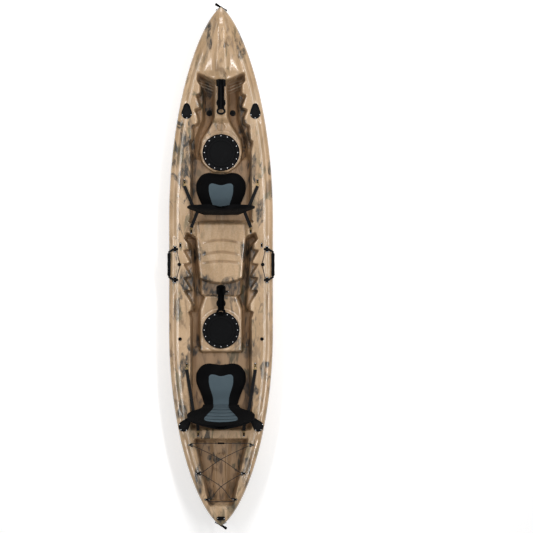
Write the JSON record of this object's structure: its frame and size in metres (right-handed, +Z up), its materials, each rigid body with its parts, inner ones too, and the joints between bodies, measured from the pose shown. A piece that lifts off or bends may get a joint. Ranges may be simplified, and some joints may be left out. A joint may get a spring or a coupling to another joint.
{
  "type": "tandem kayak",
  "caption": "Tandem sit-on-top fishing kayak with moulded wells and foot steps, padded seats, round hatches, rod holders, laced tank well and carry handles.",
  "frame": {"origin": "on the ground under the middle of the hull, where the keel rests", "axes": "+Y to the bow, +X to starboard, +Z up"},
  "size_m": [0.822, 4.0462, 0.5624],
  "materials": {
    "hull": "rotationally moulded polyethylene in a streaked sand, brown, olive and charcoal blend",
    "black_plastic": "moulded nylon",
    "grey_plastic": "moulded nylon",
    "steel": "stainless",
    "rubber": "matt",
    "webbing": "woven polyester",
    "seat_fabric": "padded woven polyester",
    "brass": "plain"
  },
  "bodies": {
    "hull": {"hull_shell": "hull", "front_hatch_rim": "grey_plastic", "rear_hatch_rim": "grey_plastic", "hatch_screws": "steel", "bow_port_rod_tube": "grey_plastic", "bow_starboard_rod_tube": "grey_plastic", "stern_port_rod_tube": "grey_plastic", "stern_starboard_rod_tube": "grey_plastic", "rod_tube_screws": "steel", "front_rod_base": "grey_plastic", "rear_rod_base": "grey_plastic", "rod_base_screws": "steel", "strap_eyes": "black_plastic", "tank_eyes": "black_plastic", "deck_eyes": "black_plastic", "eye_screws": "steel", "tank_bungee": "webbing", "bungee_hook": "grey_plastic", "handle_brackets": "black_plastic", "handle_screws": "steel", "port_paddle_bungee": "webbing", "starboard_paddle_bungee": "webbing", "deck_buttons": "black_plastic", "drain_flange": "black_plastic", "drain_screws": "steel", "front_seat_pad": "seat_fabric", "rear_seat_pad": "seat_fabric", "front_side_straps": "webbing", "front_back_straps": "webbing", "rear_side_straps": "webbing", "rear_back_straps": "webbing", "snap_hooks": "brass"},
    "front_hatch_seal": {"front_hatch_gasket": "rubber"},
    "front_hatch_cover": {"front_hatch_lid": "black_plastic"},
    "rear_hatch_seal": {"rear_hatch_gasket": "rubber"},
    "rear_hatch_cover": {"rear_hatch_lid": "black_plastic"},
    "bow_port_cap": {"bow_port_rod_cap": "rubber"},
    "bow_starboard_cap": {"bow_starboard_rod_cap": "rubber"},
    "stern_port_cap": {"stern_port_rod_cap": "rubber"},
    "stern_starboard_cap": {"stern_starboard_rod_cap": "rubber"},
    "front_rest_mount": {"front_rest_swivel": "black_plastic", "front_rest_bolt": "grey_plastic"},
    "front_rest": {"front_rest_arm": "black_plastic"},
    "rear_rest_mount": {"rear_rest_swivel": "black_plastic", "rear_rest_bolt": "grey_plastic"},
    "rear_rest": {"rear_rest_arm": "black_plastic"},
    "front_back": {"front_backrest": "seat_fabric"},
    "rear_back": {"rear_backrest": "seat_fabric"},
    "port_handle": {"port_handle_grip": "black_plastic", "port_handle_strap": "webbing"},
    "starboard_handle": {"starboard_handle_grip": "black_plastic", "starboard_handle_strap": "webbing"},
    "bow_pull": {"bow_toggle": "black_plastic", "bow_toggle_cord": "webbing"},
    "stern_pull": {"stern_toggle": "black_plastic", "stern_toggle_cord": "webbing"},
    "drain": {"drain_plug": "black_plastic", "drain_seal": "rubber"},
    "port_plug": {"port_scupper_plug": "rubber"},
    "starboard_plug": {"starboard_scupper_plug": "rubber"}
  },
  "joints": [
    {"name": "front_hatch_lift", "type": "slide", "parent": "hull", "child": "front_hatch_seal", "axis": [0, 0, 1], "range_m": [0, 0.15]},
    {"name": "front_hatch_twist", "type": "hinge", "parent": "front_hatch_seal", "child": "front_hatch_cover", "pos_m": [0, 0.878, 0.215], "axis": [0, 0, 1], "range_deg": [0, 60]},
    {"name": "rear_hatch_lift", "type": "slide", "parent": "hull", "child": "rear_hatch_seal", "axis": [0, 0, 1], "range_m": [0, 0.15]},
    {"name": "rear_hatch_twist", "type": "hinge", "parent": "rear_hatch_seal", "child": "rear_hatch_cover", "pos_m": [0, -0.49, 0.215], "axis": [0, 0, 1], "range_deg": [0, 60]},
    {"name": "bow_port_cap_flip", "type": "hinge", "parent": "hull", "child": "bow_port_cap", "pos_m": [-0.262, 1.23136, 0.3309], "axis": [-1, 0, 0], "range_deg": [0, 150]},
    {"name": "bow_starboard_cap_flip", "type": "hinge", "parent": "hull", "child": "bow_starboard_cap", "pos_m": [0.262, 1.23136, 0.3309], "axis": [-1, 0, 0], "range_deg": [0, 150]},
    {"name": "stern_port_cap_flip", "type": "hinge", "parent": "hull", "child": "stern_port_cap", "pos_m": [-0.24486, -1.17429, 0.32105], "axis": [-0.766, 0.6422, -0.0284], "range_deg": [0, 98]},
    {"name": "stern_starboard_cap_flip", "type": "hinge", "parent": "hull", "child": "stern_starboard_cap", "pos_m": [0.24486, -1.17429, 0.32105], "axis": [-0.766, -0.6422, 0.0284], "range_deg": [0, 98]},
    {"name": "front_rest_turn", "type": "hinge", "parent": "hull", "child": "front_rest_mount", "pos_m": [0, 1.258, 0.2804], "axis": [0, 0, 1], "continuous": true},
    {"name": "front_rest_tilt", "type": "hinge", "parent": "front_rest_mount", "child": "front_rest", "pos_m": [0, 1.258, 0.3164], "axis": [1, 0, 0], "range_deg": [-1, 40]},
    {"name": "rear_rest_turn", "type": "hinge", "parent": "hull", "child": "rear_rest_mount", "pos_m": [0, -0.284, 0.2454], "axis": [0, 0, 1], "continuous": true},
    {"name": "rear_rest_tilt", "type": "hinge", "parent": "rear_rest_mount", "child": "rear_rest", "pos_m": [0, -0.284, 0.2814], "axis": [1, 0, 0], "range_deg": [-30, 12]},
    {"name": "front_back_fold", "type": "hinge", "parent": "hull", "child": "front_back", "pos_m": [0, 0.403, 0.168], "axis": [-1, 0, 0], "range_deg": [-12, 30], "deforming": ["front_side_straps", "front_back_straps"]},
    {"name": "rear_back_fold", "type": "hinge", "parent": "hull", "child": "rear_back", "pos_m": [0, -1.071, 0.168], "axis": [-1, 0, 0], "range_deg": [0, 50], "deforming": ["rear_side_straps", "rear_back_straps"]},
    {"name": "port_handle_swing", "type": "hinge", "parent": "hull", "child": "port_handle", "pos_m": [-0.352, 0.015, 0.3004], "axis": [0, 1, 0], "range_deg": [0, 100]},
    {"name": "starboard_handle_swing", "type": "hinge", "parent": "hull", "child": "starboard_handle", "pos_m": [0.352, 0.015, 0.3004], "axis": [0, -1, 0], "range_deg": [0, 100]},
    {"name": "bow_toggle_swing", "type": "hinge", "parent": "hull", "child": "bow_pull", "pos_m": [0, 1.957, 0.3], "axis": [1, 0, 0], "range_deg": [0, 90]},
    {"name": "stern_toggle_swing", "type": "hinge", "parent": "hull", "child": "stern_pull", "pos_m": [0, -1.957, 0.277], "axis": [-1, 0, 0], "range_deg": [0, 90]},
    {"name": "drain_turn", "type": "hinge", "parent": "hull", "child": "drain", "pos_m": [0, -1.92058, 0.36275], "axis": [0, 0.0839, 0.9965], "continuous": true},
    {"name": "port_plug_pull", "type": "slide", "parent": "hull", "child": "port_plug", "axis": [0, 0, 1], "range_m": [0, 0.1]},
    {"name": "starboard_plug_pull", "type": "slide", "parent": "hull", "child": "starboard_plug", "axis": [0, 0, 1], "range_m": [0, 0.1]}
  ]
}
